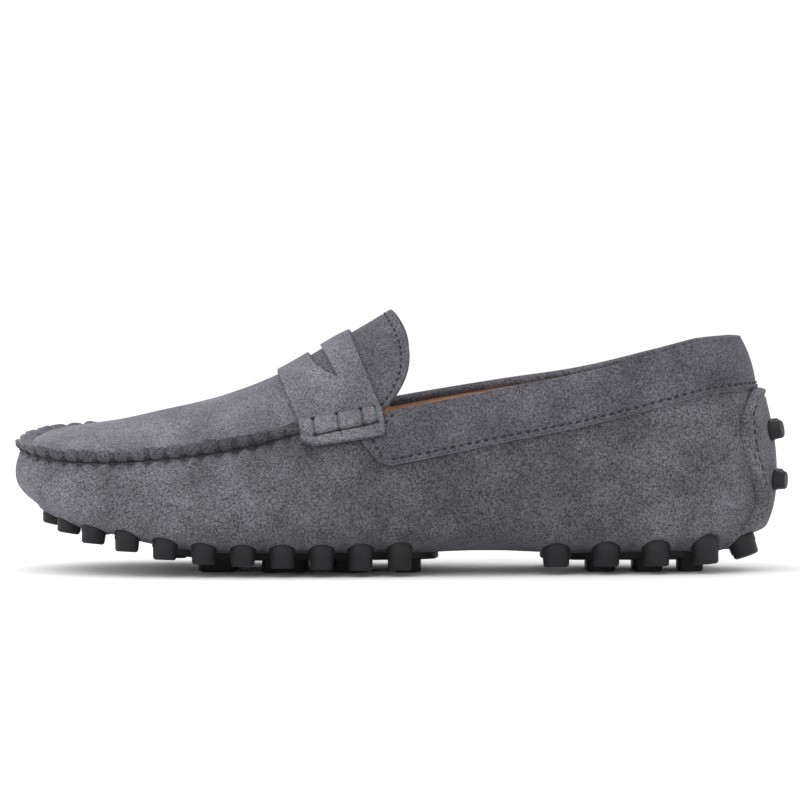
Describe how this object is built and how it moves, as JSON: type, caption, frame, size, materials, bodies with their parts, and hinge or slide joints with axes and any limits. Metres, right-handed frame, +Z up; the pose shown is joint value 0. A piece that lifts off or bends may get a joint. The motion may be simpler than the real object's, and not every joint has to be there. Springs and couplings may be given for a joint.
{
  "type": "driving moccasin",
  "caption": "Left driving moccasin with a moc-stitched apron, slotted saddle strap and separate studded rubber soles.",
  "frame": {"origin": "under the middle of the box around the shoe, on the plane that the middle lugs stand on", "axes": "-X towards the toe, -Y towards the lateral side of this left shoe, +Z up"},
  "size_m": [0.2841, 0.0971, 0.0958],
  "materials": {
    "suede": "napped suede",
    "suede_light": "napped suede, brushed lighter",
    "suede_dark": "napped suede, darker",
    "rubber": "moulded, satin",
    "sock": "smooth lining leather"
  },
  "bodies": {
    "root": {"vamp": "suede", "apron": "suede_light", "tongue": "suede_dark", "moc_seam": "suede", "saddle_strap": "suede_light", "collar_band": "suede", "heel_tab": "suede", "heel_back_studs": "rubber", "forefoot_sole": "rubber", "heel_sole": "rubber", "insole": "sock"}
  },
  "joints": []
}
